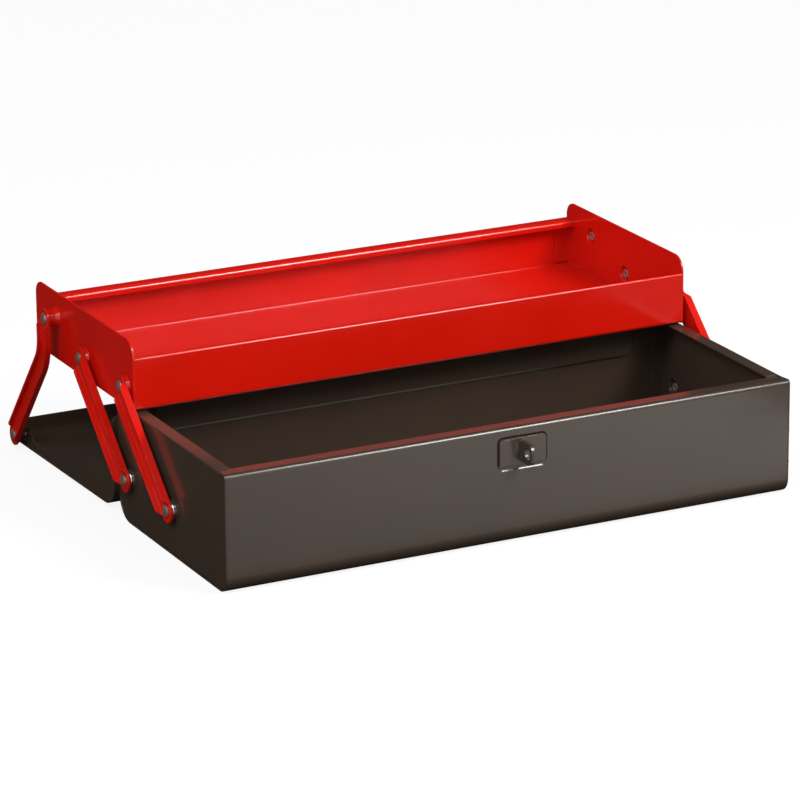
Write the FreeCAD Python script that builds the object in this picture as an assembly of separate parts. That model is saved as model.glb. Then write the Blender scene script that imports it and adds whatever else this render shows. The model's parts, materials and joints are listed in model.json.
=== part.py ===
import FreeCAD, Part
import math
import os

# Cantilever tool box with one tray, shown fully open: the tray has swung back over
# the rear rim and the lid lies upside down behind the box.
# Millimetres. X runs along the box, Y from the front to the rear, Z up.
# The origin is the middle of the underside of the box.

os.makedirs("parts", exist_ok=True)
V = FreeCAD.Vector
X_AXIS = V(1, 0, 0)
overrun = 2.0
tiny = 1e-6

# Lower box
box_length = 350.0
box_depth = 144.0
box_height = 68.0
box_sheet = 1.0
box_front_bend = 9.0
box_rear_bend = 14.0
rim_bend = 2.2
front_rim_width = 12.0
front_rim_fall = 1.0
rear_rim_width = 9.0
end_rim_width = 8.0
end_rim_drop = 0.3
end_rim_gap = 0.2
end_inset = 0.1
end_edge_radius = 0.9
end_tab = 8.0

# Pressed seat of the hinge in the rear wall
seat_height = 21.0
seat_end_inset = 21.0
seat_depth = 2.0
seat_corner = 6.0
seat_bend = 1.6

# Tray
tray_rear_gap = 4.4
tray_sheet = 1.0
tray_rest_gap = 0.5
tray_open_overlap = 24.2
tray_wall_height = 30.5
tray_plate_height = 40.0
tray_front_corner = 9.0
tray_rear_corner = 8.0
tray_foot_corner = 1.5
tray_floor_bend = 2.4
tray_rear_bend = 1.6
hem_gap = 0.2
hem_height = 5.0
hem_bend = 1.1
tray_rear_rim = 10.0
tray_rim_lip = 4.0
tray_tab = 9.0
tray_tab_clear = 3.0
tray_floor_tab_length = 16.0

# Arms and their pivots
pivot_height = 26.7
middle_pivot_inset = 16.1
tray_pivot_back = 10.4
tray_pivot_up = 12.5
rear_pivot_up = 25.2
lid_pivot_drop = 7.2
lid_pivot_inset = 12.3
arm_half_width = 6.8
arm_sheet = 1.2
arm_flange = 4.3
arm_flange_setback = 0.8
arm_flange_slant = 3.3
rear_arm_half_width = 6.1
rear_arm_flange = 3.6
rear_arm_stub = 22.0
rear_arm_bend = 26.0
running_gap = 0.1
running_fit = 0.05

# Bosses, collars and rivets
boss_reach = 2.5
boss_base_radius = 6.0
boss_top_radius = 5.0
collar_radius = 5.0
collar_length = 3.8
shank_radius = 2.0
head_radius = 3.5
head_height = 1.6
head_rim = 0.5
tail_radius = 2.6
tail_height = 1.8
tail_bore = 1.3

# Lid
lid_overhang = 1.5
lid_sheet = 1.0
lid_rear_gap = 2.4
lid_rim_gap = 0.6
lid_front_gap = 1.0
lid_front_drop = 12.5
lid_rear_bend = 14.0
lid_front_bend = 7.0
lid_front_corner = 8.0
lid_rear_corner = 4.0
lid_end_inset = 0.1
lid_end_rear_drop = 30.0
lid_end_low_drop = 6.2
lid_low_length = 32.0
lid_ear_width = 28.4
lid_ear_rise = 7.0
lid_ear_drop = 12.8
lid_open_lean = 1.2
lid_boss_base_radius = 5.7
lid_boss_top_radius = 5.2
floor_gap = 0.3

# Hinge of the lid
hinge_back = 3.4
hinge_drop = 5.0
knuckle_radius = 2.1
hinge_pin_radius = 1.2
leaf_sheet = 1.0
leaf_end_gap = 4.0
leaf_edge_gap = 1.5
lid_leaf_height = 20.0
knuckle_count = 7
knuckle_gap = 0.4
small_head_radius = 2.6
small_head_height = 0.8
small_shank_radius = 1.5
small_hole_length = 8.0
head_flat_share = 0.4
leaf_rivet_inset = 6.0
weld_mark_radius = 2.4
weld_mark_depth = 0.3

# Staple on the front
staple_x = 3.9
staple_width = 28.6
staple_drop = 6.6
staple_height = 15.5
staple_sheet = 1.0
staple_corner = 2.0
fin_reach = 12.0
fin_height = 12.5
fin_hole_radius = 3.2
fin_hole_reach = 6.8
fin_corner = 5.0
fin_seam = 0.3

# Hasp on the lid
hasp_width = 24.0
hasp_sheet = 1.2
hasp_knuckle = 2.4
hasp_pin_radius = 1.25
hasp_overlap = 4.9
hasp_end_corner = 7.0
hasp_slot_side_gap = 1.7
hasp_slot_end_gap = 1.2
hasp_knuckle_length = 10.0
hasp_leg_height = 5.8
hasp_rivet_half_pitch = 8.0
hasp_rivet_height = 3.0
plate_gap = 0.2

# Handle in its pressed seat in the lid
handle_seat_front = 43.0
handle_seat_width = 34.0
handle_seat_half_length = 74.0
handle_seat_depth = 7.0
handle_seat_corner = 6.0
handle_rod = 2.5
handle_lift = 3.3
handle_leg = 22.0
handle_end_room = 22.0
handle_bend = 7.0
handle_foot_bend = 3.0
handle_stub = 9.0
handle_pivot_inset = 7.0
bracket_wall = 1.1
bracket_length = 7.0
bracket_gap = 1.0
bracket_foot = 5.5
bracket_sheet = 1.2

# Places that follow from the sizes above
seat_high = box_height - box_sheet
seat_low = seat_high - seat_height
seat_half_length = box_length / 2 - seat_end_inset
front = -box_depth / 2
rear = box_depth / 2
box_end = box_length / 2 - end_inset
tray_end = box_length / 2
tray_depth = box_depth - tray_rear_gap
tray_open_shift = box_depth - tray_open_overlap
tray_low = box_height + tray_rest_gap
tray_front = front + tray_open_shift
boss_plane = tray_end + boss_reach
arm_plane = boss_plane + running_gap
rear_arm_plane = boss_plane + collar_length + running_gap
lid_half = tray_end + lid_overhang
lid_end = lid_half - lid_end_inset
lid_rear = rear + lid_rear_gap
lid_front = front - lid_front_gap - lid_sheet
hinge_y = rear + hinge_back
hinge_height = box_height - hinge_drop
hinge_point = (hinge_y, hinge_height)
leaf_face = rear - seat_depth + leaf_sheet
leaf_half_length = seat_half_length - leaf_end_gap
box_leaf_low = seat_low + leaf_edge_gap
lid_leaf_high = hinge_height + lid_leaf_height
lid_rear_bottom = box_height + lid_rim_gap
staple_high = box_height - staple_drop
staple_low = staple_high - staple_height
staple_middle = (staple_low + staple_high) / 2
hasp_low = staple_low - hasp_overlap
swing = tray_open_shift / 2
box_front_pivot = (front + swing + tray_pivot_back, pivot_height)
box_middle_pivot = (rear - middle_pivot_inset, pivot_height)
arm_spacing = box_middle_pivot[0] - box_front_pivot[0]
tray_front_pivot = (tray_front + tray_pivot_back, tray_low + tray_pivot_up)
tray_middle_pivot = (tray_front_pivot[0] + arm_spacing, tray_front_pivot[1])
lid_open_angle = 180 + lid_open_lean


def turned(point, centre, degrees):
    angle = math.radians(degrees)
    dy, dz = point[0] - centre[0], point[1] - centre[1]
    return (centre[0] + dy * math.cos(angle) - dz * math.sin(angle),
            centre[1] + dy * math.sin(angle) + dz * math.cos(angle))


def lid_top():
    # Height of the shut lid whose front edge comes down to the floor when it is turned open.
    angle = math.radians(lid_open_angle)
    reach = hinge_height - floor_gap - (lid_front - hinge_y) * math.sin(angle)
    return hinge_height - reach / math.cos(angle)


lid_top_height = lid_top()
lid_pivot_shut = (lid_front + lid_pivot_inset, lid_top_height - lid_pivot_drop)
lid_pivot = turned(lid_pivot_shut, hinge_point, -lid_open_angle)


def tray_rear_pivot_place():
    # Equally far from the lid's pivot with all open and with all shut.
    z = tray_low + rear_pivot_up
    room = lid_pivot[0] - lid_pivot_shut[0] - tray_open_shift
    rise = (z - lid_pivot[1]) ** 2 - (z - lid_pivot_shut[1]) ** 2
    return ((rise / room + lid_pivot[0] + lid_pivot_shut[0] + tray_open_shift) / 2, z)


tray_rear_pivot = tray_rear_pivot_place()
hasp_axis_shut = (lid_front + plate_gap - hasp_knuckle,
                  lid_top_height - lid_front_drop - plate_gap - hasp_knuckle)
hasp_axis = turned(hasp_axis_shut, hinge_point, -lid_open_angle)
handle_half_length = handle_seat_half_length - handle_end_room
handle_axis_shut = (front + handle_seat_front + handle_pivot_inset,
                    lid_top_height - handle_seat_depth + handle_lift)
handle_axis = turned(handle_axis_shut, hinge_point, -lid_open_angle)


def hasp_slope():
    # Slope below level at which the strap's tip meets the floor; a short strap hangs plumb.
    length = hasp_axis_shut[1] - hasp_low
    above = hasp_knuckle - hasp_sheet
    fall = min(1, (hasp_axis[1] - floor_gap) / math.hypot(length, above))
    return math.degrees(math.asin(fall) + math.atan2(above, length))


def handle_drop():
    # Turn by which the loose handle sinks out of its seat to the floor.
    slack = handle_axis[1] - handle_rod - floor_gap
    return math.degrees(math.asin(min(1, slack / handle_leg))) + lid_open_lean


# The strap, hanging over the staple when all is shut, has turned up by this much.
hasp_rest_angle = 270 + hasp_slope() - lid_open_angle


# Sheet-metal helpers, all in the plane across the box (Y, Z)

def unit(a, b):
    length = math.hypot(b[0] - a[0], b[1] - a[1])
    return ((b[0] - a[0]) / length, (b[1] - a[1]) / length)


def offset_line(points, distance):
    # Moves an open line of straight runs to its left, with sharp corners.
    moved = []
    for i, point in enumerate(points):
        before = unit(points[i - 1], point) if i > 0 else None
        after = unit(point, points[i + 1]) if i < len(points) - 1 else None
        if before is None or after is None:
            run = after or before
            moved.append((point[0] - run[1] * distance, point[1] + run[0] * distance))
            continue
        cosine = before[0] * after[0] + before[1] * after[1]
        scale = distance / (1 + cosine)
        across = (before[1] + after[1]) * scale
        along = (before[0] + after[0]) * scale
        moved.append((point[0] - across, point[1] + along))
    return moved


def turn_sign(a, b, c):
    cross = (b[0] - a[0]) * (c[1] - b[1]) - (b[1] - a[1]) * (c[0] - b[0])
    return 1 if cross > 0 else -1


def rounded_edges(points, radii, x):
    # Straight runs joined by tangent arcs; radii holds one value for each inner point.
    edges = []
    start = points[0]
    for i in range(1, len(points) - 1):
        before, after = unit(points[i - 1], points[i]), unit(points[i], points[i + 1])
        half_turn = math.acos(max(-1, min(1, before[0] * after[0] + before[1] * after[1]))) / 2
        radius = radii[i - 1]
        reach = radius * math.tan(half_turn)
        a = (points[i][0] - before[0] * reach, points[i][1] - before[1] * reach)
        b = (points[i][0] + after[0] * reach, points[i][1] + after[1] * reach)
        inward = unit((0, 0), (after[0] - before[0], after[1] - before[1]))
        sagitta = radius / math.cos(half_turn) - radius
        middle = (points[i][0] + inward[0] * sagitta, points[i][1] + inward[1] * sagitta)
        if math.dist(start, a) > tiny:
            edges.append(Part.makeLine(V(x, *start), V(x, *a)))
        edges.append(Part.Arc(V(x, *a), V(x, *middle), V(x, *b)).toShape())
        start = b
    edges.append(Part.makeLine(V(x, *start), V(x, *points[-1])))
    return edges


def prism(edges, length):
    return Part.Face(Part.Wire(Part.__sortEdges__(edges))).extrude(V(length, 0, 0))


def folded_sheet(points, radii, thickness, x_low, x_high):
    # A bent sheet: points and radii give its outer skin, and its metal lies to the left.
    inner = offset_line(points, thickness)
    inner_radii = []
    for i, radius in enumerate(radii):
        sign = turn_sign(points[i], points[i + 1], points[i + 2])
        inner_radii.append(radius - sign * thickness)
    edges = rounded_edges(points, radii, x_low) + rounded_edges(inner, inner_radii, x_low)
    edges.append(Part.makeLine(V(x_low, *points[0]), V(x_low, *inner[0])))
    edges.append(Part.makeLine(V(x_low, *points[-1]), V(x_low, *inner[-1])))
    return prism(edges, x_high - x_low)


def rounded_plate(corners, radii, x_low, x_high):
    # A flat plate across the box; corners and radii run round its outline.
    closed = [((corners[0][0] + corners[-1][0]) / 2, (corners[0][1] + corners[-1][1]) / 2)]
    closed += list(corners) + [closed[0]]
    return prism(rounded_edges(closed, radii, x_low), x_high - x_low)


def block(x_low, x_high, y_low, y_high, z_low, z_high):
    return Part.makeBox(x_high - x_low, y_high - y_low, z_high - z_low, V(x_low, y_low, z_low))


def rounded_block(x_low, x_high, y_low, y_high, z_low, z_high, radius, along):
    # A block whose four edges along one axis are rounded.
    shape = block(x_low, x_high, y_low, y_high, z_low, z_high)
    picked = [e for e in shape.Edges if abs(abs(e.tangentAt(e.FirstParameter).dot(along)) - 1) < tiny]
    return shape.makeFillet(radius, picked)


def rod(side, x_low, x_high, centre, radius):
    return Part.makeCylinder(radius, x_high - x_low, V(side * x_low, *centre), X_AXIS * side)


def domed_head(side, base, centre):
    # A low domed rivet head that stands on a plane at base, turned about its own axis.
    cap = head_height - head_rim
    dome_radius = (head_radius ** 2 + cap ** 2) / (2 * cap)
    half_angle = math.asin(head_radius / dome_radius) / 2
    middle_x = base + head_height - dome_radius + dome_radius * math.cos(half_angle)

    def at(x, radius):
        return V(side * x, centre[0], centre[1] + radius)

    foot, rim, edge = at(base, 0), at(base, head_radius), at(base + head_rim, head_radius)
    top, middle = at(base + head_height, 0), at(middle_x, dome_radius * math.sin(half_angle))
    outline = [Part.makeLine(foot, rim), Part.makeLine(rim, edge), Part.Arc(edge, middle, top).toShape(),
               Part.makeLine(top, foot)]
    return Part.Face(Part.Wire(outline)).revolve(V(0, *centre), X_AXIS, 360)


def swing_lid(shape):
    shape = shape.copy()
    shape.rotate(V(0, *hinge_point), X_AXIS, -lid_open_angle)
    return shape


def save(name, shape):
    shape.exportStep("parts/" + name + ".step")


# Lower box

def make_box_shell():
    points = [(front + front_rim_width, box_height - front_rim_fall), (front, box_height),
              (front, 0), (rear, 0), (rear, box_height), (rear - rear_rim_width, box_height)]
    shell = folded_sheet(points, [rim_bend, box_front_bend, box_rear_bend, rim_bend], box_sheet,
                         -box_length / 2, box_length / 2)
    seat_face = rear - box_sheet - seat_depth
    seat = rounded_block(-seat_half_length, seat_half_length, seat_face, rear + overrun,
                         seat_low, seat_high, seat_corner, V(0, 1, 0))
    brow = [e for e in seat.Edges if abs(e.BoundBox.YMax - seat_face) < tiny]
    seat = seat.makeFillet(seat_bend, brow)
    hollow = rounded_block(-seat_half_length + box_sheet, seat_half_length - box_sheet, rear - seat_depth,
                           rear + overrun, seat_low + box_sheet, seat_high - box_sheet,
                           seat_corner - box_sheet, V(0, 1, 0))
    outside = block(-box_length, box_length, rear, rear + overrun * 2, 0, box_height)
    return shell.fuse(seat.cut(outside)).cut(hollow).removeSplitter()


def boss_at(plate, side, face_x, thickness, reach, centre):
    # Presses a hollow round boss out of a plate and punches the pivot hole through it.
    outward = X_AXIS * side
    dome = Part.makeCone(boss_base_radius, boss_top_radius, reach, V(side * face_x, *centre), outward)
    hollow = Part.makeCone(boss_base_radius - thickness, boss_top_radius - thickness, reach,
                           V(side * (face_x - thickness), *centre), outward)
    hole = rod(side, face_x - thickness - overrun, face_x + reach + overrun, centre, shank_radius)
    return plate.fuse(dome).cut(hollow).cut(hole)


def make_box_end(side, shell):
    # A pan inside the shell's end: its rim butts against the long rims, and its edges are bent round.
    low, high = box_sheet, box_height - end_rim_drop
    y_low, y_high = front + box_sheet, rear - box_sheet
    front_bend, rear_bend = box_front_bend - box_sheet, box_rear_bend - box_sheet
    outline = [(y_low, high), (y_low, low), (y_high, low), (y_high, high)]
    corner = rim_bend - box_sheet
    pan = rounded_plate(outline, [corner, front_bend, rear_bend, corner], box_end - end_tab, box_end)
    inner = [(y_low + box_sheet, high + overrun), (y_low + box_sheet, low + box_sheet),
             (y_high - box_sheet, low + box_sheet), (y_high - box_sheet, high + overrun)]
    inner_radii = [corner, front_bend - box_sheet, rear_bend - box_sheet, corner]
    hollow = rounded_plate(inner, inner_radii, box_end - end_tab - overrun, box_end - box_sheet)
    rim = block(box_end - end_rim_width, box_end, front + front_rim_width + end_rim_gap,
                rear - rear_rim_width - end_rim_gap, high - box_sheet, high)
    pan = pan.cut(hollow).fuse(rim).removeSplitter()
    outer = [e for e in pan.Edges if abs(e.BoundBox.XMin - box_end) < tiny]
    bent = [e for e in outer if abs(e.BoundBox.XMax - box_end) < tiny]
    pan = pan.makeFillet(end_edge_radius, bent).cut(shell)
    if side < 0:
        pan = pan.mirror(V(0, 0, 0), X_AXIS)
    reach = boss_plane - box_end
    for centre in (box_front_pivot, box_middle_pivot):
        pan = boss_at(pan, side, box_end, box_sheet, reach, centre)
    return pan


def make_staple():
    low, high, middle = staple_low, staple_high, staple_middle
    x_low, x_high = staple_x - staple_width / 2, staple_x + staple_width / 2
    plate = rounded_block(x_low, x_high, front - staple_sheet, front, low, high, staple_corner, V(0, 1, 0))
    fin = block(staple_x - staple_sheet, staple_x + staple_sheet, front - staple_sheet - fin_reach,
                front - staple_sheet / 2, middle - fin_height / 2, middle + fin_height / 2)
    tips = [e for e in fin.Edges if abs(e.CenterOfMass.y - (front - staple_sheet - fin_reach)) < tiny
            and abs(abs(e.tangentAt(e.FirstParameter).x) - 1) < tiny]
    fin = fin.makeFillet(fin_corner, tips)
    eye_start = V(staple_x - staple_sheet - overrun, front - staple_sheet - fin_hole_reach, middle)
    eye = Part.makeCylinder(fin_hole_radius, staple_sheet * 2 + overrun * 2, eye_start, X_AXIS)
    fin_tip = front - staple_sheet - fin_reach
    seam = block(staple_x - fin_seam / 2, staple_x + fin_seam / 2, fin_tip - overrun, fin_tip + fin_seam,
                 low, high)
    return plate.fuse(fin).cut(eye).cut(seam).removeSplitter()


# Tray, in its open place

def make_tray_shell():
    low, high = tray_low, tray_low + tray_wall_height
    y_low, y_high = tray_front, tray_front + tray_depth
    hem = tray_sheet * 2 + hem_gap
    points = [(y_low + hem, high - hem_height), (y_low + hem, high), (y_low, high), (y_low, low),
              (y_high, low), (y_high, high), (y_high - tray_rear_rim, high),
              (y_high - tray_rear_rim, high - tray_rim_lip)]
    radii = [hem_bend, hem_bend, tray_floor_bend, tray_rear_bend, rim_bend, rim_bend]
    half = tray_end - tray_sheet
    return folded_sheet(points, radii, tray_sheet, -half, half)


def make_tray_end(side):
    low, high = tray_low, tray_low + tray_plate_height
    y_low, y_high = tray_front, tray_front + tray_depth
    corners = [(y_low, high), (y_low, low), (y_high, low), (y_high, high)]
    radii = [tray_front_corner, tray_foot_corner, tray_rear_bend, tray_rear_corner]
    plate = rounded_plate(corners, radii, tray_end - tray_sheet, tray_end)
    inside = tray_end - tray_sheet
    wall_top = low + tray_wall_height
    tab_start, tab_end = y_low + tray_sheet + tray_tab_clear, y_high - tray_rear_bend
    floor_tabs = [block(inside - tray_tab, inside, y, y + tray_floor_tab_length, low + tray_sheet,
                        low + tray_sheet * 2) for y in (tab_start, tab_end - tray_floor_tab_length)]
    front_tab = block(inside - tray_tab, inside, y_low + tray_sheet, y_low + tray_sheet * 2,
                      low + tray_sheet + tray_tab_clear, wall_top - hem_height - tray_sheet)
    rear_tab = block(inside - tray_tab, inside, y_high - tray_sheet * 2, y_high - tray_sheet,
                     low + tray_rear_bend + tray_sheet, wall_top - tray_sheet - tray_tab_clear)
    plate = plate.fuse(floor_tabs + [front_tab, rear_tab]).removeSplitter()
    if side < 0:
        plate = plate.mirror(V(0, 0, 0), X_AXIS)
    for centre in (tray_front_pivot, tray_middle_pivot, tray_rear_pivot):
        plate = boss_at(plate, side, tray_end, tray_sheet, boss_reach, centre)
    return plate


# Arms: channels whose edges turn outward, with round bare ends at the pivots

def arm_outline(points, radii, x, half_width):
    left = offset_line(points, half_width)
    right = offset_line(points, -half_width)
    left_radii, right_radii = [], []
    for i, radius in enumerate(radii):
        sign = turn_sign(points[i], points[i + 1], points[i + 2])
        left_radii.append(radius - sign * half_width)
        right_radii.append(radius + sign * half_width)
    start, end = unit(points[1], points[0]), unit(points[-2], points[-1])
    start_tip = (points[0][0] + start[0] * half_width, points[0][1] + start[1] * half_width)
    end_tip = (points[-1][0] + end[0] * half_width, points[-1][1] + end[1] * half_width)
    edges = rounded_edges(left, left_radii, x) + rounded_edges(right, right_radii, x)
    edges.append(Part.Arc(V(x, *left[0]), V(x, *start_tip), V(x, *right[0])).toShape())
    edges.append(Part.Arc(V(x, *left[-1]), V(x, *end_tip), V(x, *right[-1])).toShape())
    return edges


def shortened(points, cut):
    first, last = unit(points[0], points[1]), unit(points[-1], points[-2])
    start = (points[0][0] + first[0] * cut, points[0][1] + first[1] * cut)
    end = (points[-1][0] + last[0] * cut, points[-1][1] + last[1] * cut)
    return [start] + list(points[1:-1]) + [end]


def flange_slants(points, plane, half_width, flange):
    # Wedges that cut the flanges' ends down to the bare ends of the arm.
    wedges = []
    for near, far in ((points[0], points[1]), (points[-1], points[-2])):
        run = unit(near, far)
        across = (-run[1], run[0])
        reach = half_width + overrun
        base = (near[0] + run[0] * arm_flange_setback, near[1] + run[1] * arm_flange_setback)
        top = (base[0] + run[0] * arm_flange_slant, base[1] + run[1] * arm_flange_slant)
        back = (near[0] - run[0] * reach, near[1] - run[1] * reach)
        side_point = lambda p, x: V(x, p[0] - across[0] * reach, p[1] - across[1] * reach)
        lift = plane + flange + overrun
        corners = [side_point(base, plane + arm_sheet), side_point(top, plane + flange),
                   side_point(top, lift), side_point(back, lift), side_point(back, plane + arm_sheet)]
        face = Part.Face(Part.makePolygon(corners + corners[:1]))
        wedges.append(face.extrude(V(0, across[0] * reach * 2, across[1] * reach * 2)))
    return wedges


def make_arm(side, points, radii, plane, half_width, flange):
    web = prism(arm_outline(points, radii, plane, half_width), arm_sheet)
    trimmed = shortened(points, arm_flange_setback)
    channel = prism(flat_outline(trimmed, radii, plane, half_width), flange)
    inner_half = half_width - arm_sheet
    inside = flat_outline(trimmed, radii, plane + arm_sheet, inner_half, overrun)
    hollow = prism(inside, flange + overrun)
    arm = web.fuse(channel.cut(hollow))
    for wedge in flange_slants(points, plane, half_width, flange):
        arm = arm.cut(wedge)
    for centre in (points[0], points[-1]):
        bore = shank_radius + running_fit
        arm = arm.cut(rod(1, plane - overrun, plane + flange + overrun, centre, bore))
    arm = arm.removeSplitter()
    return arm if side > 0 else arm.mirror(V(0, 0, 0), X_AXIS)


def flat_outline(points, radii, x, half_width, extra=0.0):
    longer = shortened(points, -extra)
    left = offset_line(longer, half_width)
    right = offset_line(longer, -half_width)
    left_radii, right_radii = [], []
    for i, radius in enumerate(radii):
        sign = turn_sign(points[i], points[i + 1], points[i + 2])
        left_radii.append(radius - sign * half_width)
        right_radii.append(radius + sign * half_width)
    edges = rounded_edges(left, left_radii, x) + rounded_edges(right, right_radii, x)
    edges.append(Part.makeLine(V(x, *left[0]), V(x, *right[0])))
    edges.append(Part.makeLine(V(x, *left[-1]), V(x, *right[-1])))
    return edges


def rear_arm_points():
    knee = (tray_rear_pivot[0], tray_rear_pivot[1] - rear_arm_stub)
    return [lid_pivot, knee, tray_rear_pivot]


# Small rivets: each place is a point on the sheet's face, with the way out of it

def shank_holes(places, way_out):
    holes = []
    for base in places:
        start = base + way_out * overrun
        holes.append(Part.makeCylinder(small_shank_radius, small_hole_length, start, way_out * -1))
    return Part.makeCompound(holes)


def small_rivets(places, way_out, grip):
    # Low chamfered heads whose shanks end flush with the far face of the sheets they grip.
    rivets = []
    flat = small_head_height * head_flat_share
    for base in places:
        disc = Part.makeCylinder(small_head_radius, flat, base, way_out)
        crown = Part.makeCone(small_head_radius, small_head_radius - flat, small_head_height - flat,
                              base + way_out * flat, way_out)
        shank = Part.makeCylinder(small_shank_radius, grip, base, way_out * -1)
        rivets.append(disc.fuse([crown, shank]).removeSplitter())
    return Part.makeCompound(rivets)


def weld_marks():
    # Shallow round prints of the spot welds that hold the lower leaf.
    marks = []
    for start, end in knuckle_spans(0):
        place = V((start + end) / 2, leaf_face - weld_mark_depth, box_leaf_low + leaf_rivet_inset)
        marks.append(Part.makeCylinder(weld_mark_radius, weld_mark_depth + overrun, place, V(0, 1, 0)))
    return Part.makeCompound(marks)


def lid_hinge_places():
    middles = [(start + end) / 2 for start, end in knuckle_spans(1)]
    return [V(x, lid_rear + leaf_sheet, lid_leaf_high - leaf_rivet_inset) for x in middles]


def hasp_places():
    z = lid_top_height - lid_front_drop + hasp_rivet_height
    return [V(staple_x + side * hasp_rivet_half_pitch, lid_front, z) for side in (-1, 1)]


def bracket_places():
    y = handle_axis_shut[0] + handle_rod + running_fit + bracket_wall + bracket_foot / 2
    x = handle_half_length + handle_rod + bracket_gap + bracket_length / 2
    return [V(side * x, y, lid_top_height - handle_seat_depth + bracket_sheet) for side in (-1, 1)]


# Pivot rivets and collars

def make_tail(side, seat, outer, centre):
    # Hollow clinched end that bears on the inner face at seat, with the shank out to outer.
    tail = rod(side, seat - tail_height, seat, centre, tail_radius)
    shank = rod(side, seat - tail_height, outer, centre, shank_radius)
    bore = rod(side, seat - tail_height - overrun, seat, centre, tail_bore)
    return tail.fuse(shank).cut(bore)


def make_pivot_rivet(side, seat, plane, centre):
    # Domed head outside the arm, shank through arm and boss, tail inside the boss.
    base = plane + arm_sheet + running_gap
    return make_tail(side, seat, base, centre).fuse(domed_head(side, base, centre)).removeSplitter()


def pair(make, *sizes):
    return Part.makeCompound([make(-1, *sizes), make(1, *sizes)])


def make_collar(side, low, high, centre):
    return rod(side, low, high, centre, collar_radius).cut(
        rod(side, low - overrun, high + overrun, centre, shank_radius))


def make_loose_head(side, plane, centre):
    # Head of the rear pivot on the tray: it ends flush with the arm's inner face.
    head = domed_head(side, plane + arm_sheet, centre)
    return head.fuse(rod(side, plane, plane + arm_sheet, centre, shank_radius)).removeSplitter()


# Lid, modelled shut and then swung open about its hinge

def make_lid_shell():
    points = [(lid_rear, lid_rear_bottom), (lid_rear, lid_top_height), (lid_front, lid_top_height),
              (lid_front, lid_top_height - lid_front_drop)]
    shell = folded_sheet(points, [lid_rear_bend, lid_front_bend], lid_sheet, -lid_half, lid_half)
    for side in (-1, 1):
        for y, z, radius in ((lid_front, lid_top_height - lid_front_drop, lid_front_corner),
                             (lid_rear - lid_sheet, lid_rear_bottom, lid_rear_corner)):
            corner = block(lid_half - radius, lid_half + overrun, y - overrun, y + lid_sheet + overrun,
                           z - overrun, z + radius)
            start = V(lid_half - radius, y - overrun * 2, z + radius)
            corner = corner.cut(Part.makeCylinder(radius, lid_sheet * 2 + overrun * 4, start, V(0, 1, 0)))
            if side < 0:
                corner = corner.mirror(V(0, 0, 0), X_AXIS)
            shell = shell.cut(corner)
    y_low, y_high = front + handle_seat_front, front + handle_seat_front + handle_seat_width
    floor = lid_top_height - handle_seat_depth
    pan = rounded_block(-handle_seat_half_length, handle_seat_half_length, y_low, y_high,
                        floor - lid_sheet, lid_top_height, handle_seat_corner, V(0, 0, 1))
    pocket = rounded_block(-handle_seat_half_length + lid_sheet, handle_seat_half_length - lid_sheet,
                           y_low + lid_sheet, y_high - lid_sheet, floor, lid_top_height + overrun,
                           handle_seat_corner - lid_sheet, V(0, 0, 1))
    shell = shell.fuse(pan).cut(pocket).removeSplitter()
    shell = shell.cut(shank_holes(lid_hinge_places(), V(0, 1, 0)))
    shell = shell.cut(shank_holes(hasp_places(), V(0, -1, 0)))
    return shell.cut(shank_holes(bracket_places(), V(0, 0, 1)))


def make_lid_end(side):
    top = lid_top_height - lid_sheet
    y_front, y_rear = lid_front + lid_sheet, lid_rear - lid_sheet
    ear_start = lid_front + lid_ear_width
    slope_end = ear_start + lid_low_length
    ear_low, end_low = lid_top_height - lid_ear_drop, lid_top_height - lid_end_low_drop
    corners = [(y_rear, top), (y_front, top), (y_front, ear_low), (ear_start - lid_ear_rise, ear_low),
               (ear_start, end_low), (slope_end, end_low), (y_rear, lid_top_height - lid_end_rear_drop)]
    radii = [lid_rear_bend - lid_sheet, lid_front_bend - lid_sheet, lid_front_corner / 2, lid_ear_rise / 2,
             lid_ear_rise / 2, lid_front_corner * 2, lid_sheet]
    plate = rounded_plate(corners, radii, lid_end - lid_sheet, lid_end)
    if side < 0:
        plate = plate.mirror(V(0, 0, 0), X_AXIS)
    dome = Part.makeCone(lid_boss_base_radius, lid_boss_top_radius, boss_plane - lid_end,
                         V(side * lid_end, *lid_pivot_shut), X_AXIS * side)
    hole = rod(side, lid_end - lid_sheet - overrun, boss_plane + overrun, lid_pivot_shut, shank_radius)
    return plate.fuse(dome).cut(hole)


# Hinge of the lid: two long leaves with interleaved knuckles on one pin

def knuckle_spans(first):
    pitch = leaf_half_length * 2 / knuckle_count
    spans = []
    for i in range(first, knuckle_count, 2):
        start = -leaf_half_length + i * pitch
        spans.append((start + knuckle_gap / 2, start + pitch - knuckle_gap / 2))
    return spans


def leaf_with_knuckles(leaf, first, bore):
    rolls = []
    for start, end in knuckle_spans(first):
        rolls.append(Part.makeCylinder(knuckle_radius, end - start, V(start, *hinge_point), X_AXIS))
    gaps = []
    for start, end in knuckle_spans(1 - first):
        gaps.append(block(start - knuckle_gap, end + knuckle_gap, hinge_y - knuckle_radius - overrun,
                          hinge_y + knuckle_radius + overrun, hinge_height - knuckle_radius - knuckle_gap,
                          hinge_height + knuckle_radius + knuckle_gap))
    hole = Part.makeCylinder(bore, leaf_half_length * 2 + overrun * 2,
                             V(-leaf_half_length - overrun, *hinge_point), X_AXIS)
    return leaf.cut(Part.makeCompound(gaps)).fuse(rolls).cut(hole).removeSplitter()


def make_box_leaf():
    foot = hinge_height - knuckle_radius
    leaf = block(-leaf_half_length, leaf_half_length, rear - seat_depth, leaf_face, box_leaf_low, foot)
    shelf = block(-leaf_half_length, leaf_half_length, rear - seat_depth, hinge_y, foot, foot + leaf_sheet)
    leaf = leaf.fuse(shelf)
    return leaf_with_knuckles(leaf.cut(weld_marks()), 0, hinge_pin_radius)


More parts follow.
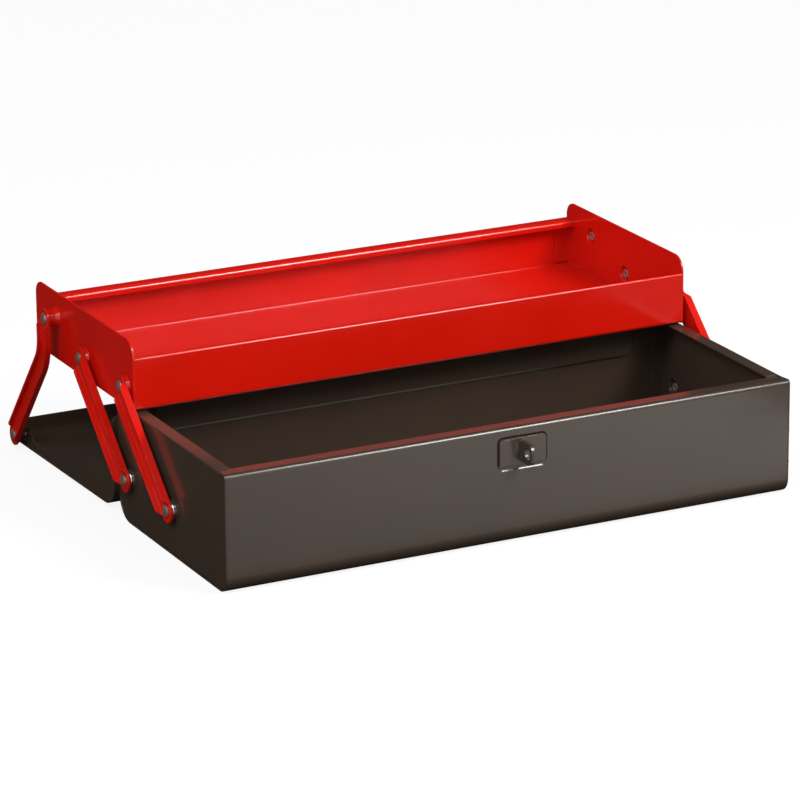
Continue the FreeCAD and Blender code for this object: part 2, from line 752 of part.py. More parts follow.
def make_lid_leaf():
    leaf = block(-leaf_half_length, leaf_half_length, lid_rear, lid_rear + leaf_sheet,
                 hinge_height, lid_leaf_high)
    leaf = leaf.cut(shank_holes(lid_hinge_places(), V(0, 1, 0)))
    return swing_lid(leaf_with_knuckles(leaf, 1, hinge_pin_radius + running_fit))


def make_hinge_pin():
    start = V(-leaf_half_length, *hinge_point)
    return Part.makeCylinder(hinge_pin_radius, leaf_half_length * 2, start, X_AXIS)


# Hasp: a folded plate inside the lid's front wall, a pin and a slotted strap

def make_hasp_plate():
    rim = lid_top_height - lid_front_drop
    y_in = lid_front + lid_sheet
    x_low, x_high = staple_x - hasp_width / 2, staple_x + hasp_width / 2
    foot_top = rim - plate_gap
    leg_top = rim + hasp_leg_height - lid_sheet
    leg = block(x_low, x_high, y_in, y_in + lid_sheet, foot_top - lid_sheet, leg_top)
    foot = block(x_low, x_high, hasp_axis_shut[0], y_in + lid_sheet, foot_top - lid_sheet, foot_top)
    roll = Part.makeCylinder(hasp_knuckle, hasp_width, V(x_low, *hasp_axis_shut), X_AXIS)
    half_gap = (hasp_knuckle_length + knuckle_gap) / 2
    gap = block(staple_x - half_gap, staple_x + half_gap,
                hasp_axis_shut[0] - hasp_knuckle - overrun, hasp_axis_shut[0] + hasp_knuckle + knuckle_gap,
                hasp_axis_shut[1] - hasp_knuckle - overrun, rim + overrun)
    hole_start = V(x_low - overrun, *hasp_axis_shut)
    hole = Part.makeCylinder(hasp_pin_radius, hasp_width + overrun * 2, hole_start, X_AXIS)
    plate = leg.fuse([foot, roll]).cut(gap).cut(hole).cut(shank_holes(hasp_places(), V(0, -1, 0)))
    return swing_lid(plate.removeSplitter())


def make_hasp_strap():
    # Modelled hanging over the staple, then turned up to where it lies when the lid is open.
    y_low = hasp_axis_shut[0] + hasp_knuckle - hasp_sheet
    y_high = hasp_axis_shut[0] + hasp_knuckle
    x_low, x_high = staple_x - hasp_width / 2, staple_x + hasp_width / 2
    blade_top = hasp_axis_shut[1] - hasp_knuckle - knuckle_gap
    strap = rounded_block(x_low, x_high, y_low, y_high, hasp_low, blade_top, hasp_end_corner, V(0, 1, 0))
    strap = strap.fuse(block(x_low, x_high, y_low, y_high, hasp_low + hasp_end_corner, blade_top))
    half_neck = hasp_knuckle_length / 2 - knuckle_gap / 2
    neck = block(staple_x - half_neck, staple_x + half_neck, y_low, y_high, blade_top - overrun,
                 hasp_axis_shut[1])
    roll = Part.makeCylinder(hasp_knuckle, half_neck * 2, V(staple_x - half_neck, *hasp_axis_shut), X_AXIS)
    hole = Part.makeCylinder(hasp_pin_radius + running_fit, hasp_width, V(x_low, *hasp_axis_shut), X_AXIS)
    half_slot, half_rise = staple_sheet + hasp_slot_side_gap, fin_height / 2 + hasp_slot_end_gap
    slot = block(staple_x - half_slot, staple_x + half_slot, y_low - overrun, y_high + overrun,
                 staple_middle - half_rise, staple_middle + half_rise)
    strap = strap.fuse([neck, roll]).cut(hole).cut(slot).removeSplitter()
    strap.rotate(V(0, *hasp_axis_shut), X_AXIS, -hasp_rest_angle)
    return swing_lid(strap)


def make_hasp_pin():
    x_low = staple_x - hasp_width / 2
    return swing_lid(Part.makeCylinder(hasp_pin_radius, hasp_width, V(x_low, *hasp_axis_shut), X_AXIS))


# Handle that folds flat into its seat in the lid

def make_handle():
    y, z = handle_axis_shut
    half = handle_half_length
    grip_y = y + handle_leg
    stops = [(-half - handle_stub, y), (-half, y), (-half, grip_y), (half, grip_y), (half, y),
             (half + handle_stub, y)]
    bends = [handle_foot_bend, handle_bend, handle_bend, handle_foot_bend]
    edges = []
    start = stops[0]
    for i in range(1, len(stops) - 1):
        before, after = unit(stops[i - 1], stops[i]), unit(stops[i], stops[i + 1])
        reach = bends[i - 1]
        a = (stops[i][0] - before[0] * reach, stops[i][1] - before[1] * reach)
        b = (stops[i][0] + after[0] * reach, stops[i][1] + after[1] * reach)
        inward = unit((0, 0), (after[0] - before[0], after[1] - before[1]))
        sagitta = reach * (math.sqrt(2) - 1)
        middle = (stops[i][0] + inward[0] * sagitta, stops[i][1] + inward[1] * sagitta)
        edges.append(Part.makeLine(V(*start, z), V(*a, z)))
        edges.append(Part.Arc(V(*a, z), V(*middle, z), V(*b, z)).toShape())
        start = b
    edges.append(Part.makeLine(V(*start, z), V(*stops[-1], z)))
    path = Part.Wire(edges)
    ring = Part.Wire(Part.makeCircle(handle_rod, V(*stops[0], z), X_AXIS))
    handle = path.makePipeShell([ring], True, False)
    handle.rotate(V(0, y, z), X_AXIS, handle_drop())
    return swing_lid(handle)


def make_handle_bracket(side):
    y, z = handle_axis_shut
    floor = lid_top_height - handle_seat_depth
    x_low = handle_half_length + handle_rod + bracket_gap
    x_high = x_low + bracket_length
    outer = handle_rod + running_fit + bracket_wall
    arch = Part.makeCylinder(outer, bracket_length, V(x_low, y, z), X_AXIS)
    arch = arch.fuse(block(x_low, x_high, y - outer, y + outer, floor, z))
    under = block(x_low - overrun, x_high + overrun, y - outer * 2, y + outer * 2, floor - outer * 2, floor)
    arch = arch.cut(under)
    foot = block(x_low, x_high, y - outer, y + outer + bracket_foot, floor, floor + bracket_sheet)
    bore = Part.makeCylinder(handle_rod + running_fit, bracket_length + overrun * 2,
                             V(x_low - overrun, y, z), X_AXIS)
    bracket = arch.fuse(foot).cut(bore).removeSplitter()
    if side < 0:
        bracket = bracket.mirror(V(0, 0, 0), X_AXIS)
    return swing_lid(bracket.cut(shank_holes(bracket_places(), V(0, 0, 1))))


box_shell = make_box_shell()
save("box_shell", box_shell)
save("staple", make_staple())
save("tray_shell", make_tray_shell())
save("lid_shell", swing_lid(make_lid_shell()))
save("hinge_leaf_box", make_box_leaf())
save("hinge_leaf_lid", make_lid_leaf())
save("hinge_pin", make_hinge_pin())
save("hinge_rivets_lid", swing_lid(small_rivets(lid_hinge_places(), V(0, 1, 0), leaf_sheet + lid_sheet)))
save("hasp_plate", make_hasp_plate())
save("hasp_strap", make_hasp_strap())
save("hasp_pin", make_hasp_pin())
save("hasp_rivets", swing_lid(small_rivets(hasp_places(), V(0, -1, 0), lid_sheet * 2)))
save("handle", make_handle())
save("handle_rivets", swing_lid(small_rivets(bracket_places(), V(0, 0, 1), bracket_sheet + lid_sheet)))

rear_points = rear_arm_points()
for side, word in ((-1, "left"), (1, "right")):
    save("box_end_" + word, make_box_end(side, box_shell))
    save("tray_end_" + word, make_tray_end(side))
    save("lid_end_" + word, swing_lid(make_lid_end(side)))
    for name, low, high in (("front_arm_", box_front_pivot, tray_front_pivot),
                            ("middle_arm_", box_middle_pivot, tray_middle_pivot)):
        save(name + word, make_arm(side, [low, high], [], arm_plane, arm_half_width, arm_flange))
    save("rear_arm_" + word, make_arm(side, rear_points, [rear_arm_bend], rear_arm_plane,
                                      rear_arm_half_width, rear_arm_flange))
    save("handle_bracket_" + word, make_handle_bracket(side))
    save("tray_rear_rivet_head_" + word, make_loose_head(side, rear_arm_plane, tray_rear_pivot))

box_seat = boss_plane - box_sheet
tray_seat = boss_plane - tray_sheet
collar_end = boss_plane + collar_length
save("box_front_rivets", pair(make_pivot_rivet, box_seat, arm_plane, box_front_pivot))
save("box_middle_rivets", pair(make_pivot_rivet, box_seat, arm_plane, box_middle_pivot))
save("tray_front_rivets", pair(make_pivot_rivet, tray_seat, arm_plane, tray_front_pivot))
save("tray_middle_rivets", pair(make_pivot_rivet, tray_seat, arm_plane, tray_middle_pivot))
save("tray_rear_rivet_tails", pair(make_tail, tray_seat, collar_end, tray_rear_pivot))
save("tray_collars", pair(make_collar, boss_plane, collar_end, tray_rear_pivot))
save("lid_rivets", pair(make_pivot_rivet, lid_end - lid_sheet, rear_arm_plane, lid_pivot))
save("lid_collars", pair(make_collar, boss_plane, collar_end, lid_pivot))
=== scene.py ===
import json
import math

import bmesh
import bpy
from mathutils import Matrix, Vector, noise


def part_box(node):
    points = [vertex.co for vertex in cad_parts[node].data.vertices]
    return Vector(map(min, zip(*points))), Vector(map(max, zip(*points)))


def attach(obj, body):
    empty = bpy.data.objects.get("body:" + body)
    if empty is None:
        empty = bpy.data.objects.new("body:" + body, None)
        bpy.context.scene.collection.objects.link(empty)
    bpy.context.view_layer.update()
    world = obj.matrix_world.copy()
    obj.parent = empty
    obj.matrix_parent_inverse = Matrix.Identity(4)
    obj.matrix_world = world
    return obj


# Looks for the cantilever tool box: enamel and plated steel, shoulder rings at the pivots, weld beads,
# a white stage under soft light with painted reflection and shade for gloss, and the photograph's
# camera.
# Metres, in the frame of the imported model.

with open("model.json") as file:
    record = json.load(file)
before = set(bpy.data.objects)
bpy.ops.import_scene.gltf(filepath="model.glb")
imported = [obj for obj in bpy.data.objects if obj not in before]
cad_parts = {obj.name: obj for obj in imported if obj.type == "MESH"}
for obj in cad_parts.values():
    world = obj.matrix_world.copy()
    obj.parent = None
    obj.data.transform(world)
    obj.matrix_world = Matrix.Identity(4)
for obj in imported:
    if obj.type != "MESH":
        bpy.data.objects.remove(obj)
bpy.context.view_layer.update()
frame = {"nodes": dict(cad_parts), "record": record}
nodes = frame["nodes"]
mm = 0.001
cad_box_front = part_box("box_shell")[0][1]
cad_box_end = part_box("box_shell")[1][0]

# Camera, from a fit to the photograph: degrees, metres, and millimetres for the lens and the sensor
view_azimuth = -26.609
view_elevation = 18.212
view_roll = -0.484
view_distance = 2.5129
view_slide = -0.03147
view_rise = 0.05911
view_lens = 200.3
view_sensor = 36.0
view_nearest = 0.05
view_farthest = 50.0

# Colours, linear; the edge colours are the enamel painted lighter on its edges, partly wear and partly a
# painted highlight along them
dark_colour = (0.051, 0.034, 0.024)
dark_wear_and_sheen = (0.11, 0.085, 0.07)
fitting_wear_and_sheen = (0.12, 0.09, 0.075)
red_colour = (0.635, 0.0075, 0.002)
red_wear_and_sheen = (0.84, 0.08, 0.05)
zinc_colour = (0.58, 0.49, 0.42)
zinc_dull_share = 0.6
ring_colour = (0.82, 0.80, 0.76)
ring_dull = (0.6, 0.58, 0.55)
rubbed_steel = (0.62, 0.61, 0.59)

# Enamel: lightness of the mottle, change of roughness in the smears, share and strength of the
# orange peel's bumps, and gloss
mottle_dark, mottle_light = 0.93, 1.07
smear_gloss, smear_dull = 0.04, 0.06
fine_peel_share = 0.35
peel_strength = 0.5
enamel_specular = 0.7

# Plated steel: change of roughness in the stains, and depth of the grain
stain_dull, stain_gloss = 0.12, 0.06
grain_depth = 0.00002
grain_strength = 0.4
dent_strength = 0.6

# Edges: cosines between the rounded and the flat normal, and the part of the noise where edges are
# painted lighter, as wear and as painted highlight
edge_turned, edge_flat = 0.72, 0.97
wear_and_sheen_start, wear_and_sheen_stop = 0.42, 0.62
bevel_samples = 6

# Seat round the staple's plate, pressed in the front wall
staple_plate_height = 15.5 * mm
seat_corner = 2 * mm
seat_ledge_below = 0.8 * mm
seat_slope_start = 0.1 * mm
seat_slope_stop = 1.5 * mm
seat_longer_below = 0.25
seat_depth = 0.8 * mm
seat_reach_inwards = 1.5 * mm

# Seam where the front wall laps round each end
seam_inset = 0.6 * mm
seam_half_width = 0.3 * mm
seam_depth = 0.2 * mm

# Angles in degrees up to which faces are shaded as one
cad_smooth_angle = 32
ring_smooth_angle = 50
bead_smooth_angle = 180

# Shoulder ring, in mm: pairs of radius and distance from the middle of the box
ring_profile = ((4.6, 176.3), (5.8, 176.3), (5.86, 176.4), (5.78, 176.6), (5.53, 177.0), (5.28, 177.32),
                (5.2, 177.4), (4.6, 177.4))
ring_turns = 64

# Weld beads on the front corners: side and height in mm
bead_places = ((-1, 47), (1, 39), (1, 20))
bead_half_sizes = (0.6 * mm, 0.6 * mm, 1.3 * mm)
bead_from_end = 0.4 * mm
bead_from_front = 0.3 * mm
bead_lump_height = 0.22
bead_lump_scale = 1.7
bead_subdivisions = 4

# Stage: brightness of the floor and the surroundings to each kind of ray, 1 being white. What gloss
# mirrors is painted reflection and shade: the floor paler to the right and painted darker near the box,
# the surroundings dim.
floor_half_size = 6.0
floor_roughness = 0.9
floor_to_camera = 0.97
floor_glow_share = 0.88
floor_to_matt = 0.22
# Painted reflection: floor brightness that gloss mirrors at the left and at the right
floor_painted_mirror_left = 0.34
floor_painted_mirror_right = 0.84
painted_mirror_dim = 0.015
soft_light = 0.60

# Lamps: name, place, width, height and watts
lamp_target = (0, 0.05, 0.05)
lamps = (("key", (0.565, -0.84, 0.93), 0.40, 0.5, 12.5),
         ("fill", (-1.35, -0.75, 1.5), 0.7, 0.7, 13.5),
         ("spark", (-0.74, -1.14, 1.46), 0.28, 0.28, 3))


# Shader helpers

def new_material(name):
    material = bpy.data.materials.new(name)
    material.use_nodes = True
    tree = material.node_tree
    tree.nodes.clear()
    out = tree.nodes.new("ShaderNodeOutputMaterial")
    shader = tree.nodes.new("ShaderNodeBsdfPrincipled")
    tree.links.new(shader.outputs[0], out.inputs[0])
    return material, tree, shader


def split_coordinates(tree, kind):
    coordinates = tree.nodes.new("ShaderNodeTexCoord")
    apart = tree.nodes.new("ShaderNodeSeparateXYZ")
    tree.links.new(coordinates.outputs[kind], apart.inputs[0])
    return apart.outputs


def object_noise(tree, scale, detail, stretch=(1, 1, 1)):
    # Noise that stays on the piece, with scale lumps to the metre.
    coordinates = tree.nodes.new("ShaderNodeTexCoord")
    mapping = tree.nodes.new("ShaderNodeMapping")
    mapping.inputs["Scale"].default_value = stretch
    texture = tree.nodes.new("ShaderNodeTexNoise")
    texture.inputs["Scale"].default_value = scale
    texture.inputs["Detail"].default_value = detail
    tree.links.new(coordinates.outputs["Object"], mapping.inputs["Vector"])
    tree.links.new(mapping.outputs["Vector"], texture.inputs["Vector"])
    return texture.outputs["Fac"]


def ramp(tree, source, low, high, colour_low, colour_high):
    # From colour_low, where the source is low, to colour_high.
    node = tree.nodes.new("ShaderNodeValToRGB")
    node.color_ramp.elements[0].position = low
    node.color_ramp.elements[0].color = (*colour_low, 1)
    node.color_ramp.elements[1].position = high
    node.color_ramp.elements[1].color = (*colour_high, 1)
    tree.links.new(source, node.inputs[0])
    return node.outputs["Color"]


def spread(tree, source, low, high, start=0.3, stop=0.7):
    # From low, where the source is at start, to high, where it is at stop.
    node = tree.nodes.new("ShaderNodeMapRange")
    node.inputs["From Min"].default_value = start
    node.inputs["From Max"].default_value = stop
    node.inputs["To Min"].default_value = low
    node.inputs["To Max"].default_value = high
    tree.links.new(source, node.inputs["Value"])
    return node.outputs["Result"]


def math_node(tree, operation, first, second=None):
    node = tree.nodes.new("ShaderNodeMath")
    node.operation = operation
    for value, socket in ((first, node.inputs[0]), (second, node.inputs[1])):
        if isinstance(value, (int, float)):
            socket.default_value = value
        elif value is not None:
            tree.links.new(value, socket)
    return node.outputs[0]


def blend_colour(tree, share, first, second):
    # Each of first and second is a colour or a socket.
    node = tree.nodes.new("ShaderNodeMix")
    node.data_type = "RGBA"
    tree.links.new(share, node.inputs["Factor"])
    for value, socket in ((first, node.inputs["A"]), (second, node.inputs["B"])):
        if isinstance(value, tuple):
            socket.default_value = (*value, 1)
        else:
            tree.links.new(value, socket)
    return node.outputs["Result"]


def blend_shaders(tree, share, first, second, out):
    node = tree.nodes.new("ShaderNodeMixShader")
    tree.links.new(share, node.inputs[0])
    tree.links.new(first.outputs[0], node.inputs[1])
    tree.links.new(second.outputs[0], node.inputs[2])
    tree.links.new(node.outputs[0], out.inputs[0])


def bump(tree, source, strength, distance, normal):
    node = tree.nodes.new("ShaderNodeBump")
    node.inputs["Strength"].default_value = strength
    node.inputs["Distance"].default_value = distance
    tree.links.new(source, node.inputs["Height"])
    tree.links.new(normal, node.inputs["Normal"])
    return node.outputs["Normal"]


def rounding(tree, radius):
    node = tree.nodes.new("ShaderNodeBevel")
    node.samples = bevel_samples
    node.inputs["Radius"].default_value = radius
    return node.outputs["Normal"]


def edge_mask(tree, rounded, patches):
    # 1 on the sheet's edges, 0 on its faces, broken up by the noise.
    geometry = tree.nodes.new("ShaderNodeNewGeometry")
    dot = tree.nodes.new("ShaderNodeVectorMath")
    dot.operation = "DOT_PRODUCT"
    tree.links.new(rounded, dot.inputs[0])
    tree.links.new(geometry.outputs["Normal"], dot.inputs[1])
    turned_away = spread(tree, dot.outputs["Value"], 1, 0, start=edge_turned, stop=edge_flat)
    patch = spread(tree, patches, 0.0, 1.0, start=wear_and_sheen_start, stop=wear_and_sheen_stop)
    return math_node(tree, "MULTIPLY", turned_away, patch)


def tint(colour, share):
    return tuple(min(1.0, c * share) for c in colour)


def grey(value):
    return (value, value, value)


# Finishes

def distance_beyond(tree, coordinate, middle, half):
    offset = math_node(tree, "ABSOLUTE", math_node(tree, "SUBTRACT", coordinate, middle))
    return math_node(tree, "MAXIMUM", math_node(tree, "SUBTRACT", offset, half), 0.0)


def staple_seat(tree, place, normal):
    # Shallow dished seat round the staple's plate, with rounded corners and a longer slope below.
    low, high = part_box("staple")
    plate_bottom = high[2] - staple_plate_height
    middle_x = (low[0] + high[0]) / 2
    middle_z = (plate_bottom + high[2] - seat_ledge_below) / 2
    half_x = (high[0] - low[0]) / 2 - seat_corner
    half_z = (staple_plate_height + seat_ledge_below) / 2 - seat_corner
    beyond_x = distance_beyond(tree, place["X"], middle_x, half_x)
    beyond_z = distance_beyond(tree, place["Z"], middle_z, half_z)
    below = math_node(tree, "LESS_THAN", place["Z"], middle_z - half_z - seat_corner)
    longer = math_node(tree, "SUBTRACT", 1.0, math_node(tree, "MULTIPLY", below, seat_longer_below))
    beyond_z = math_node(tree, "MULTIPLY", beyond_z, longer)
    squares = [math_node(tree, "MULTIPLY", beyond, beyond) for beyond in (beyond_x, beyond_z)]
    distance = math_node(tree, "SQRT", math_node(tree, "ADD", squares[0], squares[1]))
    slope = tree.nodes.new("ShaderNodeMapRange")
    slope.interpolation_type = "SMOOTHSTEP"
    slope.inputs["From Min"].default_value = seat_corner + seat_slope_start
    slope.inputs["From Max"].default_value = seat_corner + seat_slope_stop
    tree.links.new(distance, slope.inputs["Value"])
    on_front = math_node(tree, "LESS_THAN", place["Y"], cad_box_front + seat_reach_inwards)
    height = math_node(tree, "MULTIPLY", slope.outputs["Result"], on_front)
    return bump(tree, height, 1.0, seat_depth, normal)


def end_seams(tree, place, normal):
    # Fine groove near each end of the front wall.
    from_middle = math_node(tree, "ABSOLUTE", place["X"])
    from_seam = math_node(tree, "ABSOLUTE",
                          math_node(tree, "SUBTRACT", from_middle, cad_box_end - seam_inset))
    height = spread(tree, from_seam, 0.0, 1.0, start=0.0, stop=seam_half_width)
    return bump(tree, height, 1.0, seam_depth, normal)


def shell_relief(tree, normal):
    place = split_coordinates(tree, "Object")
    return end_seams(tree, place, staple_seat(tree, place, normal))


def paint(name, colour, edge_wear_and_sheen, roughness, peel, radius, relief=None):
    # Sprayed enamel: mottled colour, orange peel of the depth peel, faint smears, and edges of the
    # given radius painted lighter, partly wear and partly a painted highlight along them.
    material, tree, shader = new_material(name)
    mottle = object_noise(tree, scale=16, detail=5)
    base = ramp(tree, mottle, 0.3, 0.7, tint(colour, mottle_dark), tint(colour, mottle_light))
    rounded = rounding(tree, radius)
    # Edges painted lighter: partly wear, partly a painted highlight along the edges
    edge_rub_and_sheen = edge_mask(tree, rounded, object_noise(tree, scale=95, detail=4))
    tree.links.new(blend_colour(tree, edge_rub_and_sheen, base, edge_wear_and_sheen), shader.inputs["Base Color"])
    smears = object_noise(tree, scale=34, detail=6, stretch=(1, 1, 2.4))
    smeared = spread(tree, smears, roughness - smear_gloss, roughness + smear_dull)
    tree.links.new(smeared, shader.inputs["Roughness"])
    coarse = object_noise(tree, scale=330, detail=2)
    fine = object_noise(tree, scale=1400, detail=2)
    normal = relief(tree, rounded) if relief else rounded
    normal = bump(tree, fine, peel_strength, peel * fine_peel_share, normal)
    normal = bump(tree, coarse, peel_strength, peel, normal)
    tree.links.new(normal, shader.inputs["Normal"])
    shader.inputs["Specular IOR Level"].default_value = enamel_specular
    return material


def steel(name, colour, dull, roughness, radius, metallic, dent):
    # Plated steel, dulled in patches, brighter on rubbed edges, with dents of the depth dent.
    material, tree, shader = new_material(name)
    stain = object_noise(tree, scale=300, detail=5)
    rounded = rounding(tree, radius)
    edge_rub_and_sheen = edge_mask(tree, rounded, object_noise(tree, scale=500, detail=3))
    base = ramp(tree, stain, 0.35, 0.65, dull, colour)
    tree.links.new(blend_colour(tree, edge_rub_and_sheen, base, rubbed_steel), shader.inputs["Base Color"])
    stained = spread(tree, stain, roughness + stain_dull, roughness - stain_gloss)
    tree.links.new(stained, shader.inputs["Roughness"])
    grain = object_noise(tree, scale=2600, detail=3)
    dents = object_noise(tree, scale=620, detail=2)
    normal = bump(tree, dents, dent_strength, dent, rounded)
    normal = bump(tree, grain, grain_strength, grain_depth, normal)
    tree.links.new(normal, shader.inputs["Normal"])
    shader.inputs["Metallic"].default_value = metallic
    return material


dark_paint = paint("dark_enamel", dark_colour, dark_wear_and_sheen,
                   roughness=0.17, peel=0.000005, radius=0.0003)
red_paint = paint("red_enamel", red_colour, red_wear_and_sheen,
                  roughness=0.15, peel=0.000005, radius=0.0003)
arm_paint = paint("red_arm_enamel", red_colour, red_wear_and_sheen,
                  roughness=0.17, peel=0.000006, radius=0.0005)
shell_paint = paint("dark_enamel_shell", dark_colour, dark_wear_and_sheen,
                    roughness=0.17, peel=0.000005, radius=0.0012, relief=shell_relief)
fitting_paint = paint("dark_enamel_fittings", dark_colour, fitting_wear_and_sheen,
                      roughness=0.20, peel=0.000008, radius=0.00035)
steel_plain = steel("zinc_steel", zinc_colour, tint(zinc_colour, zinc_dull_share),
                    roughness=0.38, radius=0.0005, metallic=0.82, dent=0.00006)
steel_bright = steel("bright_steel", ring_colour, ring_dull,
                     roughness=0.22, radius=0.0001, metallic=1.0, dent=0.000015)
finish_of_node = {"box_shell": shell_paint, "staple": fitting_paint, "hasp_plate": fitting_paint,
                  "hasp_strap": fitting_paint}
finish_of_slot = {"dark_paint": dark_paint, "red_paint": red_paint, "steel": steel_plain}
slot_of_node = {row["node"]: row["material_slot"] for row in frame["record"]["subparts"]}


def smooth_by_angle(obj, degrees):
    for polygon in obj.data.polygons:
        polygon.use_smooth = True
    obj.data.set_sharp_from_angle(angle=math.radians(degrees))


def dress(obj, material):
    obj.data.materials.clear()
    obj.data.materials.append(material)


for name, obj in nodes.items():
    finish = finish_of_node.get(name, finish_of_slot[slot_of_node[name]])
    dress(obj, arm_paint if "_arm_" in name else finish)
    smooth_by_angle(obj, cad_smooth_angle)


# Small trim that is in the looks alone

def add_piece(name, mesh_maker, material, body, degrees):
    data = bpy.data.meshes.new(name)
    shape = bmesh.new()
    mesh_maker(shape)
    bmesh.ops.recalc_face_normals(shape, faces=shape.faces)
    shape.to_mesh(data)
    shape.free()
    obj = bpy.data.objects.new(name, data)
    bpy.context.scene.collection.objects.link(obj)
    dress(obj, material)
    smooth_by_angle(obj, degrees)
    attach(obj, body)


def pivot_ring(side, y, z):
    # Steel shoulder ring round a pivot boss, under the arm's end: a cone that faces outwards.
    def make(shape):
        rings = []
        for i in range(ring_turns):
            angle = 2 * math.pi * i / ring_turns
            rings.append([shape.verts.new((side * x * mm, y + r * mm * math.cos(angle),
                                           z + r * mm * math.sin(angle))) for r, x in ring_profile])
        for i in range(ring_turns):
            here, there = rings[i], rings[(i + 1) % ring_turns]
            for j in range(len(ring_profile)):
                k = (j + 1) % len(ring_profile)
                shape.faces.new((here[j], here[k], there[k], there[j]))
    return make


def weld_bead(place, seed):
    # Lumpy bead left on a seam.
    def make(shape):
        bmesh.ops.create_icosphere(shape, subdivisions=bead_subdivisions, radius=1.0)
        for vert in shape.verts:
            lump = 1 + bead_lump_height * noise.noise(vert.co * bead_lump_scale + Vector((seed, 0, 0)))
            vert.co = Vector(c * s * lump + p for c, s, p in zip(vert.co, bead_half_sizes, place))
    return make


for word, side in (("left", -1), ("right", 1)):
    for row in ("front", "middle"):
        low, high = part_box("box_" + row + "_rivets")
        ring = pivot_ring(side, (low[1] + high[1]) / 2, (low[2] + high[2]) / 2)
        add_piece("box_" + row + "_ring_" + word, ring, steel_bright, "box", ring_smooth_angle)
for number, (side, height) in enumerate(bead_places):
    place = (side * (cad_box_end - bead_from_end), cad_box_front + bead_from_front, height * mm)
    add_piece("corner_weld_" + str(number), weld_bead(place, number), dark_paint, "box",
              bead_smooth_angle)


# Stage: a floor and surroundings white to the camera under soft light; gloss mirrors painted reflection
# and shade from them

def floor_colour(tree):
    # White to the camera and dull to matt paint. Gloss mirrors a painted reflection of it: paler towards
    # the right, and painted shade from the box's front backwards and beyond its right end.
    place = split_coordinates(tree, "Object")
    rightwards = spread(tree, place["X"], 0.0, 1.0, start=-0.2, stop=0.35)
    painted_mirror_gradient = ramp(tree, rightwards, 0.0, 1.0, grey(floor_painted_mirror_left), grey(floor_painted_mirror_right))
    # Painted shade: the floor that gloss mirrors is dark from the box's front backwards and past its
    # right end
    painted_shade_rear = spread(tree, place["Y"], 0.0, 1.0, start=-0.105, stop=-0.075)
    painted_shade_past_end = spread(tree, place["X"], 0.0, 0.9, start=0.24, stop=0.28)
    painted_shade_mask = math_node(tree, "MAXIMUM", painted_shade_rear, painted_shade_past_end)
    painted_mirror_colour = blend_colour(tree, painted_shade_mask, painted_mirror_gradient, grey(painted_mirror_dim))
    path = tree.nodes.new("ShaderNodeLightPath").outputs
    unseen = blend_colour(tree, path["Is Glossy Ray"], grey(floor_to_matt), painted_mirror_colour)
    return blend_colour(tree, path["Is Camera Ray"], unseen, grey(floor_to_camera))


def make_floor():
    mesh = bpy.data.meshes.new("floor")
    size = floor_half_size
    mesh.from_pydata([(-size, -size, 0), (size, -size, 0), (size, size, 0), (-size, size, 0)], [],
                     [(0, 1, 2, 3)])
    floor = bpy.data.objects.new("floor", mesh)
    bpy.context.scene.collection.objects.link(floor)
    material, tree, shader = new_material("white_sweep")
    tree.links.new(floor_colour(tree), shader.inputs["Base Color"])
    shader.inputs["Roughness"].default_value = floor_roughness
    shader.inputs["Specular IOR Level"].default_value = 0.0
    out = shader.outputs[0].links[0].to_node
    glow = tree.nodes.new("ShaderNodeEmission")
    path = tree.nodes.new("ShaderNodeLightPath").outputs
    share = math_node(tree, "MULTIPLY", path["Is Camera Ray"], floor_glow_share)
    blend_shaders(tree, share, shader, glow, out)
    floor.data.materials.append(material)


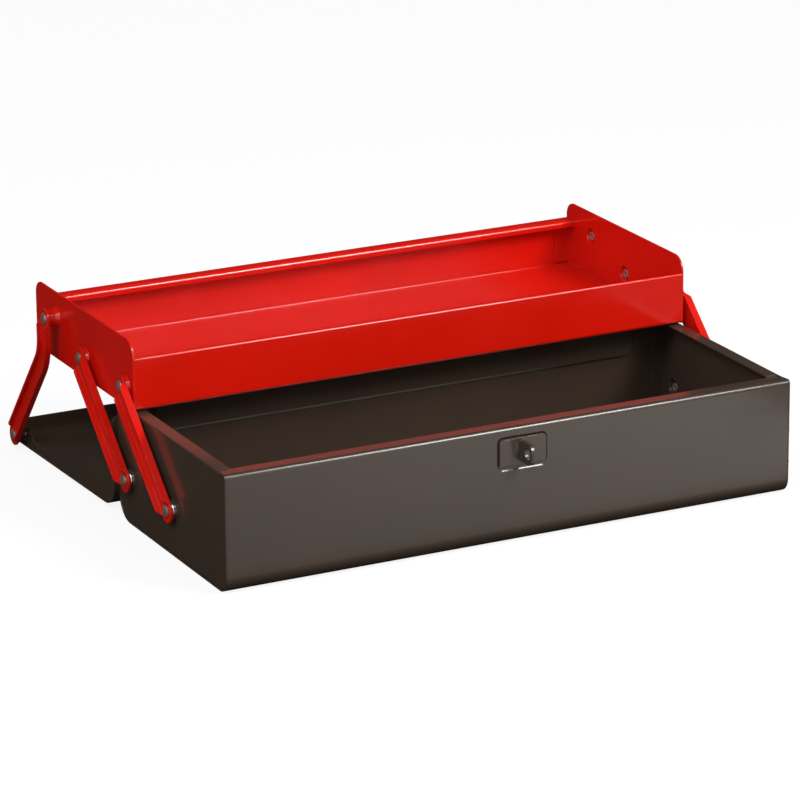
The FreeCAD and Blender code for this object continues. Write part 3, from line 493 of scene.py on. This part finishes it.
def make_world():
    # Soft white light. The camera sees white, and gloss and glass see a painted reflection: white low in
    # front, and painted dim shade overhead and to the rear.
    world = bpy.data.worlds.new("studio")
    bpy.context.scene.world = world
    world.use_nodes = True
    tree = world.node_tree
    tree.nodes.clear()
    out = tree.nodes.new("ShaderNodeOutputWorld")
    soft = tree.nodes.new("ShaderNodeBackground")
    soft.inputs["Color"].default_value = (1, 1, 1, 1)
    soft.inputs["Strength"].default_value = soft_light
    seen = tree.nodes.new("ShaderNodeBackground")
    seen.inputs["Strength"].default_value = 1.0
    place = split_coordinates(tree, "Generated")
    # Painted dim shade to the rear and overhead, seen only by gloss and glass
    painted_shade_rear = spread(tree, place["Y"], 0.0, 1.0, start=-0.3, stop=0.3)
    painted_shade_overhead = spread(tree, place["Z"], 0.0, 1.0, start=0.45, stop=0.75)
    painted_shade_mask = math_node(tree, "MAXIMUM", painted_shade_rear, painted_shade_overhead)
    painted_mirror_sweep = ramp(tree, painted_shade_mask, 0.0, 1.0, grey(1), grey(painted_mirror_dim))
    path = tree.nodes.new("ShaderNodeLightPath").outputs
    tree.links.new(blend_colour(tree, path["Is Camera Ray"], painted_mirror_sweep, grey(1)), seen.inputs["Color"])
    straight = math_node(tree, "MAXIMUM", path["Is Camera Ray"], path["Is Glossy Ray"])
    straight = math_node(tree, "MAXIMUM", straight, path["Is Transmission Ray"])
    blend_shaders(tree, straight, soft, seen, out)


def make_camera():
    azimuth, elevation, roll = (math.radians(a) for a in (view_azimuth, view_elevation, view_roll))
    back = Vector((math.sin(azimuth) * math.cos(elevation), -math.cos(azimuth) * math.cos(elevation),
                   math.sin(elevation)))
    right = Vector((math.cos(azimuth), math.sin(azimuth), 0))
    up = back.cross(right)
    painted_mirror_gradient = right * math.cos(roll) + up * math.sin(roll)
    upward = up * math.cos(roll) - right * math.sin(roll)
    camera = bpy.data.cameras.new("camera")
    camera.lens = view_lens
    camera.sensor_width = view_sensor
    camera.clip_start = view_nearest
    camera.clip_end = view_farthest
    obj = bpy.data.objects.new("camera", camera)
    bpy.context.scene.collection.objects.link(obj)
    place = back * view_distance + painted_mirror_gradient * view_slide + upward * view_rise
    turn = Matrix((painted_mirror_gradient, upward, back)).transposed().to_4x4()
    obj.matrix_world = Matrix.Translation(place) @ turn
    bpy.context.scene.camera = obj


def area_light(name, place, size_x, size_y, power):
    light = bpy.data.lights.new(name, "AREA")
    light.shape = "RECTANGLE"
    light.size = size_x
    light.size_y = size_y
    light.energy = power
    obj = bpy.data.objects.new(name, light)
    bpy.context.scene.collection.objects.link(obj)
    obj.location = place
    direction = Vector(lamp_target) - Vector(place)
    obj.rotation_mode = "QUATERNION"
    obj.rotation_quaternion = direction.to_track_quat("-Z", "Y")


make_floor()
make_world()
make_camera()
for lamp in lamps:
    area_light(*lamp)
bpy.context.scene.view_settings.view_transform = "Standard"
